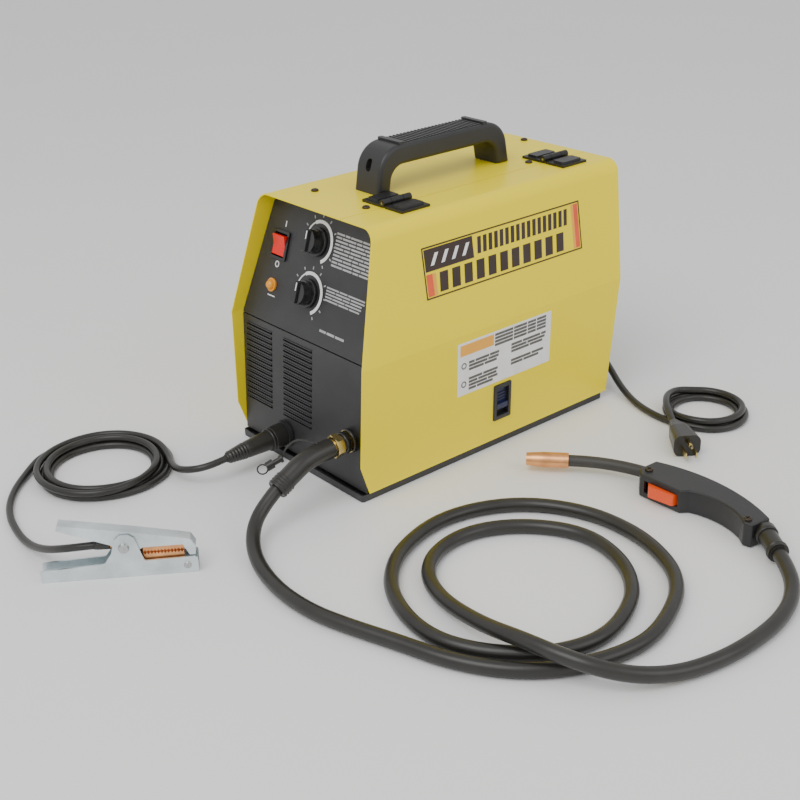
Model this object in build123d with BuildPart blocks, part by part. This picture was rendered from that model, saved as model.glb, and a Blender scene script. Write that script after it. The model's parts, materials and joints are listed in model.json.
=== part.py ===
from build123d import *
import os
from math import atan2, cos, hypot, pi, radians, sin, sqrt, tan

os.makedirs("parts", exist_ok=True)

# A wire-feed welder: a sheet-metal case with its torch lead, ground lead and mains cord.
# Frame, in millimetres: the front faces -Y, the side door faces +X, +Z is up, and the
# origin is the middle of the base's underside, on the floor.

# ---------------------------------------------------------------- driving dimensions
sheet = 1.5                     # sheet-metal thickness of the case
cover_bottom = 10.0             # lower edge of the cover and the door
kink_height = 47.0              # height where the front edge leans in towards the base
crease_height = 166.0           # the sides are widest along this crease
case_height = 314.0             # top of the cover
base_half = 123.0               # half widths of the case at those heights
crease_half = 128.0
top_half = 106.0
top_bend = 18.0                 # bend radius between the top and the sides
crease_bend = 9.0
front_edge = [(-203.0, cover_bottom), (-215.0, kink_height),
              (-210.0, crease_height), (-170.0, case_height)]
rear_edge = [(226.0, case_height), (215.0, crease_height), (201.0, cover_bottom)]

seam_x = 50.0                   # the door's upper edge, under its hinges
seam_gap = 1.0
panel_gap = 2.2                 # from the case's outline to the edges of the inner panels
rear_panel_y = 188.0
divider_x = 34.0

panel_foot = (-194.5, 162.0)    # y, z where the control panel meets the lower panel
panel_head = (-149.0, 300.0)    # a point near the control panel's upper edge
lower_foot = (-207.0, 0.0)      # the lower panel's line at the floor

hinge_axis_z = case_height + 4.8
hinge_middles = (-90.0, 170.0)  # y of the two door hinges
hinge_length = 42.0
hinge_reach = 35.0              # from the axis to the end of each leaf

handle_x = -9.0
handle_y = 21.0
handle_width = 45.0
handle_rise = 54.0
handle_half = 107.0             # half its length at the feet

latch_y, latch_z = 6.5, 60.0

knob_x = -8.5                   # on the control panel: sideways, and up from its foot
knob_rows = (54.0, 115.0)
switch_x, switch_s = -77.0, 96.0
lamp_x, lamp_s = -79.0, 46.5

ground_x, ground_z = -35.0, 32.0        # the two outlets low on the front
torch_x, torch_z = 93.0, 69.0

ground_d = 8.5                  # cord diameters
torch_d = 16.0
mains_d = 9.0

running = 0.05                  # radial clearance of a shaft in its hole


# ---------------------------------------------------------------- helpers
def outer_half(z):
    """Half width of the case at height z."""
    if z < crease_height:
        share = (z - cover_bottom) / (crease_height - cover_bottom)
        return base_half + share * (crease_half - base_half)
    share = (z - crease_height) / (case_height - crease_height)
    return crease_half + share * (top_half - crease_half)


def save(piece, name):
    """Label a finished sub-part and write its STEP file."""
    piece.part.label = name
    export_step(piece.part, f"parts/{name}.step")


def corner_radii(points, share=0.45):
    """The largest tangent arcs that fit a cord's route, one for each corner."""
    corners = [Vector(*p) for p in points]
    radii = []
    for before, here, after in zip(corners, corners[1:], corners[2:]):
        turn = (here - before).get_angle(after - here)
        shorter = min((here - before).length, (after - here).length)
        radii.append(share * shorter / tan(radians(turn) / 2))
    return radii


def report_cord(name, tube, length, diameter, radii):
    """Print a cord's bends, and how its volume compares with section times length."""
    ratio = tube.part.volume / (pi * diameter ** 2 / 4 * length)
    print(f"{name}: {length:.0f} mm, volume ratio {ratio:.4f}, radii", [round(r) for r in radii])


# the side view that trims the cover and the door
side_outline = front_edge + rear_edge

# ---------------------------------------------------------------- case: cover and door
with BuildPart() as cover:
    with BuildSketch(Plane.XZ.offset(-240)):
        with BuildLine():
            FilletPolyline((-base_half, cover_bottom), (-crease_half, crease_height),
                           (-top_half, case_height), (seam_x - seam_gap / 2, case_height),
                           radius=[crease_bend, top_bend])
            offset(amount=sheet, side=Side.RIGHT)
        make_face()
    extrude(amount=480)
    with BuildSketch(Plane.YZ):
        with BuildLine():
            Polyline(*side_outline, close=True)
        make_face()
    extrude(amount=200, both=True, mode=Mode.INTERSECT)
    screw_places = [(-59, -123), (38, -124), (36, 139), (-47, 215)]
    with Locations(*[(x, y, case_height) for x, y in screw_places]):
        Hole(radius=2.2, depth=6)
save(cover, "cover")

# the plane of the door's lower facet, at the latch
facet_tilt = atan2(crease_half - base_half, crease_height - cover_bottom)
latch_plane = Plane(origin=(outer_half(latch_z), latch_y, latch_z), x_dir=(0, 1, 0),
                    z_dir=(cos(facet_tilt), 0, -sin(facet_tilt)))

with BuildPart() as side_door:
    with BuildSketch(Plane.XZ.offset(-240)):
        with BuildLine():
            FilletPolyline((seam_x + seam_gap / 2, case_height), (top_half, case_height),
                           (crease_half, crease_height), (base_half, cover_bottom),
                           radius=[top_bend, crease_bend])
            offset(amount=sheet, side=Side.RIGHT)
        make_face()
    extrude(amount=480)
    with BuildSketch(Plane.YZ):
        with BuildLine():
            Polyline(*side_outline, close=True)
        make_face()
    extrude(amount=200, both=True, mode=Mode.INTERSECT)
    with BuildSketch(latch_plane):
        Rectangle(25, 43)
    extrude(amount=6, both=True, mode=Mode.SUBTRACT)
save(side_door, "side_door")

# ---------------------------------------------------------------- case: base, panels
tray_half = base_half - sheet - 0.7
tray_front, tray_rear = -212.5, 196.0
with BuildPart() as base_tray:
    with BuildSketch():
        with Locations((0, (tray_front + tray_rear) / 2)):
            RectangleRounded(2 * tray_half, tray_rear - tray_front, 4)
    extrude(amount=9)
    with BuildSketch(Plane.XY.offset(sheet)):
        with Locations((0, (tray_front + tray_rear) / 2)):
            RectangleRounded(2 * (tray_half - sheet), tray_rear - tray_front - 2 * sheet, 2.5)
    extrude(amount=20, mode=Mode.SUBTRACT)
    fillet(base_tray.faces().sort_by(Axis.Z)[0].edges(), radius=1.2)
save(base_tray, "base_tray")

# the two front panels lie on planes whose x is sideways and whose y runs up the slope
control_rise = hypot(panel_head[0] - panel_foot[0], panel_head[1] - panel_foot[1])
control_up = ((panel_head[0] - panel_foot[0]) / control_rise,
              (panel_head[1] - panel_foot[1]) / control_rise)
control_plane = Plane(origin=(0, *panel_foot), x_dir=(1, 0, 0),
                      z_dir=(0, -control_up[1], control_up[0]))
lower_rise = hypot(panel_foot[0] - lower_foot[0], panel_foot[1] - lower_foot[1])
lower_up = ((panel_foot[0] - lower_foot[0]) / lower_rise,
            (panel_foot[1] - lower_foot[1]) / lower_rise)
lower_plane = Plane(origin=(0, *panel_foot), x_dir=(1, 0, 0),
                    z_dir=(0, -lower_up[1], lower_up[0]))
control_top = 154.0             # length of the control panel up its slope


def panel_half(z):
    """Half width of an inner panel at height z."""
    return outer_half(z) - panel_gap


def control_half(s):
    """Half width of the control panel at s up its slope."""
    return panel_half(panel_foot[1] + control_up[1] * s)


with BuildPart() as control_panel:
    crease_s = (crease_height - panel_foot[1]) / control_up[1]
    with BuildSketch(control_plane):
        with BuildLine():
            FilletPolyline((control_half(1), 1), (control_half(crease_s), crease_s),
                           (control_half(control_top), control_top),
                           (-control_half(control_top), control_top),
                           (-control_half(crease_s), crease_s), (-control_half(1), 1),
                           radius=[0, 0, 16, 16, 0, 0], close=True)
        make_face()
    extrude(amount=-sheet)
    with BuildSketch(control_plane.offset(1)):
        with Locations(*[(knob_x, s) for s in knob_rows]):
            Circle(4)
        with Locations((lamp_x, lamp_s)):
            Circle(6)
        with Locations((switch_x, switch_s)):
            Rectangle(26, 30)
    extrude(amount=-5, mode=Mode.SUBTRACT)
save(control_panel, "control_panel")

louvre_count = 15
louvre_pitch = 6.9
louvre_top = -11.5              # first slot, down from the panel's upper edge
louvre_columns = ((-91.5, 55.0), (-13.0, 58.0))     # middle and length of each column
panel_bottom = -lower_rise + 10.5
with BuildPart() as lower_front_panel:
    with BuildSketch(lower_plane):
        with BuildLine():
            low = panel_half(cover_bottom)
            high = panel_half(panel_foot[1])
            Polyline((-low, panel_bottom), (low, panel_bottom), (high, -0.5), (-high, -0.5),
                     close=True)
        make_face()
    extrude(amount=-sheet)
    with BuildSketch(lower_plane.offset(1)):
        for middle, length in louvre_columns:
            row = louvre_top - louvre_pitch * (louvre_count - 1) / 2
            with Locations((middle, row)):
                with GridLocations(0, louvre_pitch, 1, louvre_count):
                    SlotOverall(length, 2.8)
        with Locations((ground_x, (ground_z - panel_foot[1]) / lower_up[1])):
            Circle(12)
        with Locations((torch_x, (torch_z - panel_foot[1]) / lower_up[1])):
            Circle(9.5)
    extrude(amount=-5, mode=Mode.SUBTRACT)
    with BuildSketch(lower_plane.offset(-sheet)):
        with Locations((0, -4)):
            Rectangle(2 * high - 1, 6)
    extrude(amount=-sheet)
save(lower_front_panel, "lower_front_panel")

fan_x, fan_z = -48.0, 118.0
fan_radius = 54.0
gland_x, gland_z = 5.0, 46.0
with BuildPart() as rear_panel:
    with BuildSketch(Plane.XZ.offset(-rear_panel_y)):
        with BuildLine():
            low = panel_half(cover_bottom)
            middle = panel_half(crease_height)
            high = panel_half(case_height - 4)
            FilletPolyline((low, 9.3), (middle, crease_height), (high, case_height - 4),
                           (-high, case_height - 4), (-middle, crease_height), (-low, 9.3),
                           radius=[0, 2, 14, 14, 2, 0], close=True)
        make_face()
    extrude(amount=sheet)
    with BuildSketch(Plane.XZ.offset(-rear_panel_y - 1)):
        for row in range(-6, 7):
            height = row * 8.0
            with Locations((fan_x, fan_z + height)):
                SlotOverall(2 * sqrt((fan_radius - 1) ** 2 - height ** 2), 4)
        with Locations((gland_x, gland_z)):
            Circle(8)
        with Locations((-48, 220)):
            with GridLocations(0, 9, 1, 6):
                SlotOverall(90, 3)
    extrude(amount=5, mode=Mode.SUBTRACT)
save(rear_panel, "rear_panel")

with BuildPart() as divider_panel:
    with BuildSketch(Plane.YZ.offset(divider_x)):
        with BuildLine():
            Polyline((-198, sheet), (-189, 150), (-150, 165), (-105, 302), (185, 302),
                     (185, sheet), close=True)
        make_face()
        with Locations((-120, 54.5)):
            Circle(27, mode=Mode.SUBTRACT)
        with Locations((20, 262)):
            with GridLocations(26, 12, 6, 3):
                SlotOverall(18, 4, mode=Mode.SUBTRACT)
    extrude(amount=sheet)
save(divider_panel, "divider_panel")

# ---------------------------------------------------------------- top: handle, screws
with BuildPart() as handle:
    with BuildSketch(Plane.YZ.offset(handle_x)):
        with BuildLine():
            foot = case_height
            FilletPolyline((handle_y - handle_half, foot),
                           (handle_y - handle_half + 9, foot + handle_rise),
                           (handle_y + handle_half - 9, foot + handle_rise),
                           (handle_y + handle_half, foot), radius=[33, 33])
            FilletPolyline((handle_y + handle_half, foot), (handle_y + handle_half - 20, foot),
                           (handle_y + handle_half - 25, foot + handle_rise - 24),
                           (handle_y - handle_half + 25, foot + handle_rise - 24),
                           (handle_y - handle_half + 20, foot), (handle_y - handle_half, foot),
                           radius=[0.5, 20, 20, 0.5])
        make_face()
    extrude(amount=handle_width / 2, both=True)
    outer_rim = handle.edges().filter_by(Plane.YZ.offset(handle_x + handle_width / 2))
    other_rim = handle.edges().filter_by(Plane.YZ.offset(handle_x - handle_width / 2))
    above = [e for e in outer_rim + other_rim if e.center().Z > foot + 1]
    fillet(above, radius=5)
    # the rib pattern across the grip, between two collars
    grip = 64.0
    with BuildSketch(Plane.XY.offset(foot + handle_rise - 1)):
        with Locations((handle_x, handle_y)):
            with GridLocations(0, 5.6, 1, 22):
                Rectangle(handle_width - 9, 2.8)
    extrude(amount=1.8)
    for end in (-1, 1):
        with BuildSketch(Plane.XY.offset(foot + handle_rise - 2)):
            with Locations((handle_x, handle_y + end * (grip + 3))):
                RectangleRounded(handle_width - 4, 7, 2)
        extrude(amount=4.5)
    # the oval mouth of the screw well in each foot
    for end in (-1, 1):
        well = Plane(origin=(handle_x, handle_y + end * handle_half, foot + 33),
                     x_dir=(1, 0, 0), z_dir=(0, end, 0.16))
        with BuildSketch(well.offset(4)):
            SlotOverall(15, 9, rotation=90)
        extrude(amount=-17, mode=Mode.SUBTRACT)
save(handle, "handle")

# The torch lies on its side, so its joint plane is level: x runs back along the handle.
torch_origin = (323.0, 50.0, 15.0)
torch_angle = -3.0
torch_plane = Plane(origin=torch_origin, x_dir=(cos(radians(torch_angle)),
                                                sin(radians(torch_angle)), 0), z_dir=(0, 0, 1))
torch_screw_places = ((4.5, -7.0), (146.5, -9.0))
with BuildPart() as screws:
    head_r, head_h = 4.6, 2.6
    places = [Plane.XY.offset(case_height).shift_origin((x, y, case_height))
              for x, y in screw_places]
    places += [Plane(origin=torch_plane.from_local_coords((u, v, 14.2)), z_dir=(0, 0, 1))
               for u, v in torch_screw_places]
    for place in places:
        with BuildSketch(place):
            Circle(head_r)
        extrude(amount=head_h)
        with BuildSketch(place):
            Circle(1.9)
        extrude(amount=-7)
    crowns = [place.origin.Z + head_h for place in places]
    fillet([edge for edge in screws.edges().filter_by(GeomType.CIRCLE)
            if min(abs(edge.center().Z - crown) for crown in crowns) < 0.01], radius=1.6)
    for place in places:
        with BuildSketch(place.offset(head_h + 0.1)):
            Rectangle(5.4, 1.2)
            Rectangle(1.2, 5.4)
        extrude(amount=-1.6, mode=Mode.SUBTRACT)
save(screws, "screws")

# ---------------------------------------------------------------- door hinges
knuckle_r = 4.3
pin_r = 1.6
end_knuckle = 12.0
knuckle_gap = 0.6
leaf = 3.0


def hinge_leaf(builder_side):
    """Sketch the plan of one leaf, with its notches for the other leaf's knuckles."""
    for y in hinge_middles:
        inner = hinge_length / 2 - end_knuckle
        reach = seam_x + builder_side * hinge_reach
        near = seam_x + builder_side * 5.4
        with Locations(((near + reach) / 2, y)):
            Rectangle(abs(reach - near), hinge_length)
        if builder_side < 0:
            with Locations((seam_x - 3.7, y - inner - end_knuckle / 2),
                           (seam_x - 3.7, y + inner + end_knuckle / 2)):
                Rectangle(3.6, end_knuckle)
        else:
            with Locations((seam_x + 3.7, y)):
                Rectangle(3.6, 2 * (inner - knuckle_gap))


with BuildPart() as hinge_fixed_leaves:
    with BuildSketch(Plane.XY.offset(case_height)):
        hinge_leaf(-1)
    extrude(amount=leaf)
    for y in hinge_middles:
        for end in (-1, 1):
            far = y + end * hinge_length / 2
            with BuildSketch(Plane.XZ.offset(-far)):
                with Locations((seam_x, hinge_axis_z)):
                    Circle(knuckle_r)
            extrude(amount=end * end_knuckle)
        with BuildSketch(Plane.XY.offset(case_height + leaf)):
            with Locations((seam_x - 22, y)):
                RectangleRounded(18, hinge_length - 8, 3)
        extrude(amount=2.6, taper=12)
    for y in hinge_middles:
        with BuildSketch(Plane.XZ.offset(-y - 40)):
            with Locations((seam_x, hinge_axis_z)):
                Circle(pin_r + running)
        extrude(amount=80, mode=Mode.SUBTRACT)
save(hinge_fixed_leaves, "hinge_fixed_leaves")

with BuildPart() as hinge_moving_leaves:
    with BuildSketch(Plane.XY.offset(case_height)):
        hinge_leaf(1)
    extrude(amount=leaf)
    for y in hinge_middles:
        inner = hinge_length / 2 - end_knuckle - knuckle_gap
        with BuildSketch(Plane.XZ.offset(-y - inner)):
            with Locations((seam_x, hinge_axis_z)):
                Circle(knuckle_r)
        extrude(amount=2 * inner)
        with BuildSketch(Plane.XY.offset(case_height + leaf)):
            with Locations((seam_x + 22, y)):
                RectangleRounded(18, hinge_length - 8, 3)
        extrude(amount=2.6, taper=12)
        with BuildSketch(Plane.XZ.offset(-y - 40)):
            with Locations((seam_x, hinge_axis_z)):
                Circle(pin_r + running)
        extrude(amount=80, mode=Mode.SUBTRACT)
save(hinge_moving_leaves, "hinge_moving_leaves")

with BuildPart() as hinge_pins:
    for y in hinge_middles:
        with BuildSketch(Plane.XZ.offset(-y - hinge_length / 2)):
            with Locations((seam_x, hinge_axis_z)):
                Circle(pin_r)
        extrude(amount=hinge_length)
save(hinge_pins, "hinge_pins")

# ---------------------------------------------------------------- door latch
with BuildPart() as latch_frame:
    with BuildSketch(latch_plane):
        RectangleRounded(29, 48, 2)
    extrude(amount=2)
    with BuildSketch(latch_plane):
        Rectangle(24.4, 42.4)
    extrude(amount=-7)
    fillet(latch_frame.faces().sort_by(Axis.X)[-1].edges(), radius=0.8)
    with BuildSketch(latch_plane.offset(3)):
        Rectangle(20, 37)
    extrude(amount=-8.5, mode=Mode.SUBTRACT)
save(latch_frame, "latch_frame")

with BuildPart() as latch_slider:
    with BuildSketch(latch_plane.offset(-5.1)):
        with Locations((0, 4)):
            Rectangle(19.2, 27)
    extrude(amount=2.4)
    with BuildSketch(latch_plane.offset(-2.7)):
        with Locations((0, -6)):
            RectangleRounded(18, 7, 1)
    extrude(amount=4.2)
    for rib in range(3):
        with BuildSketch(latch_plane.offset(-2.7)):
            with Locations((0, 2 + 4 * rib)):
                Rectangle(16, 1.6)
        extrude(amount=1.2)
save(latch_slider, "latch_slider")

# ---------------------------------------------------------------- control panel fittings
rocker_tilt = 10.0
with BuildPart() as switch_housing:
    with BuildSketch(control_plane):
        with Locations((switch_x, switch_s)):
            RectangleRounded(31, 35, 2)
    extrude(amount=2.6)
    with BuildSketch(control_plane):
        with Locations((switch_x, switch_s)):
            Rectangle(25.8, 29.8)
    extrude(amount=-20)
    with BuildSketch(control_plane.offset(4)):
        with Locations((switch_x, switch_s)):
            Rectangle(23.4, 28.6)
    extrude(amount=-16, mode=Mode.SUBTRACT)
    pivot = control_plane.location * Location((switch_x, switch_s, 0))
    with Locations(pivot * Location((0, 0, 0), (0, 90, 0))):
        Cylinder(1.5 + running, 24.8, mode=Mode.SUBTRACT)
    for lug in (-8, 8):
        with BuildSketch(control_plane.offset(-20)):
            with Locations((switch_x + lug, switch_s)):
                Rectangle(6.3, 0.8)
        extrude(amount=-8)
save(switch_housing, "switch_housing")

rocker_way = atan2(control_up[1], control_up[0]) + radians(rocker_tilt)
rocker_plane = Plane(origin=control_plane.from_local_coords((switch_x, switch_s, 0)),
                     x_dir=(0, cos(rocker_way), sin(rocker_way)), z_dir=(1, 0, 0))
with BuildPart() as switch_rocker:
    with BuildSketch(rocker_plane):
        with BuildLine():
            FilletPolyline((-12.6, 4.8), (0, 2.6), (12.6, 4.8), (10.5, -6), (-10.5, -6),
                           radius=[1, 10, 1, 2, 2], close=True)
        make_face()
    extrude(amount=11.4, both=True)
    with Locations(control_plane.location * Location((switch_x, switch_s, 0), (0, 90, 0))):
        Cylinder(1.5, 24.4)
save(switch_rocker, "switch_rocker")

with BuildPart() as lamp:
    with BuildSketch(control_plane):
        with Locations((lamp_x, lamp_s)):
            Circle(8.2)
    extrude(amount=2)
    with BuildSketch(control_plane):
        with Locations((lamp_x, lamp_s)):
            Circle(5.9)
    extrude(amount=-18)
    with Locations(control_plane.location * Location((lamp_x, lamp_s, 2))):
        Sphere(6.2, arc_size1=0, align=(Align.CENTER, Align.CENTER, Align.MIN))
save(lamp, "lamp")

board_depth = 22.0
with BuildPart() as control_board:
    with BuildSketch(control_plane.offset(-board_depth)):
        with Locations((0, 84)):
            Rectangle(104, 108)
    extrude(amount=-1.6)
    with BuildSketch(control_plane.offset(-board_depth)):
        with Locations(*[(knob_x, s) for s in knob_rows]):
            Circle(9)
    extrude(amount=board_depth - 3)
    with BuildSketch(control_plane.offset(-board_depth)):
        with Locations(*[(knob_x, s) for s in knob_rows]):
            Circle(3)
    extrude(amount=board_depth + 10)
    with BuildSketch(control_plane.offset(-board_depth)):
        with Locations((32, 60), (32, 84), (32, 108)):
            Rectangle(16, 18)
        with Locations((-38, 60), (-38, 80)):
            Circle(6)
    extrude(amount=14)
    with BuildSketch(control_plane.offset(-board_depth)):
        with Locations((-38, 110), (8, 84)):
            Rectangle(12, 22)
    extrude(amount=8)
save(control_board, "control_board")

knob_r = 17.0
for name, row in (("lower_knob", knob_rows[0]), ("upper_knob", knob_rows[1])):
    with BuildPart() as knob:
        with BuildSketch(control_plane.offset(0.8)):
            with Locations((knob_x, row)):
                Circle(knob_r)
        extrude(amount=5)
        with BuildSketch(control_plane.offset(5.8)):
            with Locations((knob_x, row)):
                Circle(knob_r - 2.5)
        extrude(amount=12, taper=5)
        with BuildSketch(control_plane.offset(17.8)):
            with Locations((knob_x, row)):
                Rectangle(5.5, 25)
        extrude(amount=2.4, taper=10)
        grips = control_plane.offset(11.8).location * Location((knob_x, row, 0))
        with Locations(grips):
            with PolarLocations(knob_r - 1.6, 20):
                Cylinder(1.1, 11, mode=Mode.SUBTRACT)
        with BuildSketch(control_plane):
            with Locations((knob_x, row)):
                Circle(3 + running)
        extrude(amount=10.6, mode=Mode.SUBTRACT)
    save(knob, name)

# ---------------------------------------------------------------- outlets on the front


def facing_front(y):
    """A plane across the outlets' axes, whose extrusions run forwards from y."""
    return Plane.XZ.offset(-y)


with BuildPart() as ground_socket:
    with BuildSketch(facing_front(-190)):
        with Locations((ground_x, ground_z)):
            Circle(11.8)
    extrude(amount=15)
    with BuildSketch(facing_front(-206)):
        with Locations((ground_x, ground_z)):
            Circle(16.5)
    extrude(amount=5.5)
    with BuildSketch(facing_front(-182)):
        with Locations((ground_x, ground_z)):
            Circle(6)
    extrude(amount=10)
    with BuildSketch(facing_front(-204)):
        with Locations((ground_x, ground_z)):
            Circle(11.8)
    extrude(amount=3)
save(ground_socket, "ground_socket")

plug_droop = radians(2.5)
plug_length = 82.5
plug_start = (ground_x, -211.5, ground_z)
plug_axis = (0, -cos(plug_droop), -sin(plug_droop))
plug_tip = (ground_x, plug_start[1] + plug_length * plug_axis[1],
            ground_z + plug_length * plug_axis[2])
with BuildPart() as ground_plug:
    with BuildSketch(Plane(origin=plug_start, x_dir=plug_axis, z_dir=(1, 0, 0))):
        with BuildLine():
            Polyline((0, 0), (0, 14.5), (16, 14.5), (18, 12.4), (34, 11.6), (53, 10.4),
                     (59, 8.6), (81, 5.6), (plug_length, 5), (plug_length, 0), close=True)
        make_face()
    revolve(axis=Axis(plug_start, plug_axis))
save(ground_plug, "ground_plug")

with BuildPart() as torch_socket:
    for start, end, radius in ((-188, -233, 9.3), (-203.5, -210, 13.5), (-221, -231, 12.5),
                               (-190, -199, 12.5)):
        with BuildSketch(facing_front(start)):
            with Locations((torch_x, torch_z)):
                Circle(radius)
        extrude(amount=start - end)
    with BuildSketch(facing_front(-188)):
        with Locations((torch_x, torch_z)):
            Circle(2.2)
    extrude(amount=50, mode=Mode.SUBTRACT)
save(torch_socket, "torch_socket")

boot_route = [(torch_x, -233, torch_z), (torch_x, -268, torch_z - 2), (torch_x + 2, -311, 46)]
with BuildPart() as torch_boot:
    with BuildLine() as boot_path:
        FilletPolyline(*boot_route, radius=corner_radii(boot_route))
    with BuildSketch(Plane(origin=boot_path.wires()[0] @ 0, z_dir=boot_path.wires()[0] % 0)):
        Circle(11.8)
    sweep(path=boot_path.wires()[0])
save(torch_boot, "torch_boot")

cap_place = (37.0, -275.0, 43.0)
cap_way = Vector(-5, -16, -6)
with BuildPart() as dust_cap:
    cap_plane = Plane(origin=cap_place, z_dir=cap_way)
    with BuildSketch(cap_plane):
        Circle(5.6)
    extrude(amount=9)
    with BuildSketch(cap_plane):
        Circle(3.4)
    extrude(amount=-9)
    with BuildSketch(cap_plane.offset(-12)):
        Circle(4.8)
    extrude(amount=3.2)
    ring_middle = Vector(*cap_place) + cap_way.normalized() * 14.2
    with Locations(Location(Plane(origin=ring_middle, z_dir=(0.5, -0.3, 0.8)))):
        Torus(6, 0.9)
    lanyard = [tuple(cap_plane.from_local_coords((0, 0, -11))), (45, -262, 61), (56, -257, 73),
               (69, -256, 79), (82, -253, 80.5), (92, -250, 79.5)]
    with BuildLine() as lanyard_path:
        FilletPolyline(*lanyard, radius=corner_radii(lanyard))
    with BuildSketch(Plane(origin=lanyard_path.wires()[0] @ 0, z_dir=lanyard_path.wires()[0] % 0)):
        Circle(1)
    sweep(path=lanyard_path.wires()[0])
save(dust_cap, "dust_cap")

with BuildPart() as mains_gland:
    for start, length, radius in ((rear_panel_y - 12, 29, 7.8), (rear_panel_y, 5, 11.5),
                                  (rear_panel_y + 6, 8, 10.5), (rear_panel_y - 6.5, 5, 11)):
        with BuildSketch(Plane.XZ.offset(-start)):
            with Locations((gland_x, gland_z)):
                Circle(radius)
        extrude(amount=-length)
save(mains_gland, "mains_gland")

# ---------------------------------------------------------------- free cords
# Each route is chosen by hand: the points that its straight runs join, in millimetres.
ground_lead_route = [
    plug_tip, (-35.5, -313, 26.5), (-46, -331, 23), (-68, -340, 17.5),
    (-93, -335, 13), (-116, -325, 11)]
ground_tail_route = [
    (-233, -437, 8), (-214, -463, 6), (-177, -503, 4.4), (-132, -529, 4.4), (-80, -540, 4.4),
    (-46, -542, 8), (-12, -541, 18), (16, -535, 29), (35.3, -522.8, 35), (47.7, -505, 36)]
torch_lead_route = [
    (torch_x + 2, -311, 46), (97, -334, 33), (112, -359, 18), (148, -380, 9),
    (205, -394, 8.1), (262, -393, 8.1), (309, -380, 8.1), (360, -362, 8.1),
    (414, -346, 8.1), (461, -317, 8.1), (493, -281, 8.1), (513, -233, 8.1),
    (519, -184, 8.1), (503, -134, 8.1), (481, -95, 8.1), (445, -65, 8.1),
    (385, -45, 8.1), (313, -50, 8.1), (247, -94, 8.1), (215, -172, 8.1),
    (233, -252, 8.1), (274, -303, 8.1), (325, -328, 8.1), (377, -334, 8.1),
    (419, -318, 8.1), (455, -288, 8.1), (476, -258, 8.1), (487, -218, 8.1),
    (478, -174, 8.1), (453, -129, 8.1), (405, -95, 8.1), (345, -86, 8.1),
    (291, -119, 8.1), (259, -171, 8.1), (262, -226, 8.1), (290, -266, 8.1),
    (338, -286, 9.5), (402, -294, 18), (456, -294, 29.5), (509, -284, 29.5),
    (548, -254, 19), (570, -210, 9.5), (583, -160, 8.1), (586, -110, 8.1),
    (582, -67, 8.1), (569, -28, 9), (545, 2.7, 12.5), (519, 20, 14.5)]
mains_cord_route = [
    (gland_x, rear_panel_y + 17, gland_z), (gland_x, 231, 45), (25, 256, 41), (59, 258, 32),
    (95, 242, 20), (128, 225, 10), (165, 209, 4.8), (202, 199, 4.6), (235, 197, 4.6),
    (263, 204, 6)]
mains_tail_route = [
    (194, 262, 15), (197, 238, 18), (211, 216, 20), (230, 198, 18), (251, 182.5, 14.5)]

routes = (("ground_lead", ground_lead_route, ground_d), ("ground_tail", ground_tail_route, ground_d),
          ("torch_lead", torch_lead_route, torch_d), ("mains_cord", mains_cord_route, mains_d),
          ("mains_tail", mains_tail_route, mains_d))
for name, route, diameter in routes:
    bends = corner_radii(route)
    with BuildPart() as tube:
        with BuildLine() as path:
            FilletPolyline(*route, radius=bends)
        centre = path.wires()[0]
        with BuildSketch(Plane(origin=centre @ 0, z_dir=centre % 0)):
            Circle(diameter / 2)
        sweep(path=centre)
    report_cord(name, tube, centre.length, diameter, bends)
    save(tube, name)

# the outer shape of each coil, as one ring
coils = (("ground_coil", (-157, -394), 58, 93, 18), ("mains_coil", (246, 252), 38, 57, 21))
for name, middle, inner, outer, height in coils:
    with BuildPart() as coil:
        with BuildSketch():
            with Locations(middle):
                Circle(outer)
                Circle(inner, mode=Mode.SUBTRACT)
        extrude(amount=height)
        fillet(coil.edges(), radius=3.5)
    save(coil, name)

# ---------------------------------------------------------------- mains plug
plug_way = Vector(*mains_tail_route[-1]) - Vector(*mains_tail_route[-2])
plug_plane = Plane(origin=mains_tail_route[-1], z_dir=plug_way)
level_way = Vector(plug_way.X, plug_way.Y, 0).normalized()
body_start = Vector(*mains_tail_route[-1]) + plug_way.normalized() * 27
body_plane = Plane(origin=(body_start.X, body_start.Y, 14.6), x_dir=(level_way.Y, -level_way.X, 0),
                   z_dir=level_way)
with BuildPart() as mains_plug:
    with BuildSketch(plug_plane):
        Circle(6)
    with BuildSketch(body_plane):
        RectangleRounded(25, 23, 7)
    loft()
    with BuildSketch(body_plane):
        RectangleRounded(25, 23, 7)
    with BuildSketch(body_plane.offset(37)):
        RectangleRounded(33, 27.5, 9)
    loft()
    with BuildSketch(body_plane.offset(37)):
        with Locations((-6.4, 3.5), (6.4, 3.5)):
            Rectangle(1.6, 6.4)
        with Locations((0, -7)):
            Circle(2.4)
    extrude(amount=19)
save(mains_plug, "mains_plug")

# ---------------------------------------------------------------- ground clamp
# It stands on its lower arm. On clamp_side, x runs from the arm's tail to its nose and y is up.
clamp_tail = (19.0, -563.0)
clamp_angle = 55.2
clamp_width = 19.0
clamp_ahead = Vector(cos(radians(clamp_angle)), sin(radians(clamp_angle)), 0)
clamp_out = Vector(clamp_ahead.Y, -clamp_ahead.X, 0)
clamp_middle = Vector(*clamp_tail, 0) - clamp_out * (clamp_width / 2)
clamp_side = Plane(origin=clamp_middle, x_dir=clamp_ahead, z_dir=clamp_out)
clamp_sheet = 2.0
pivot_s, pivot_z = 89.0, 35.0
clamp_pin_r = 3.0

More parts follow.
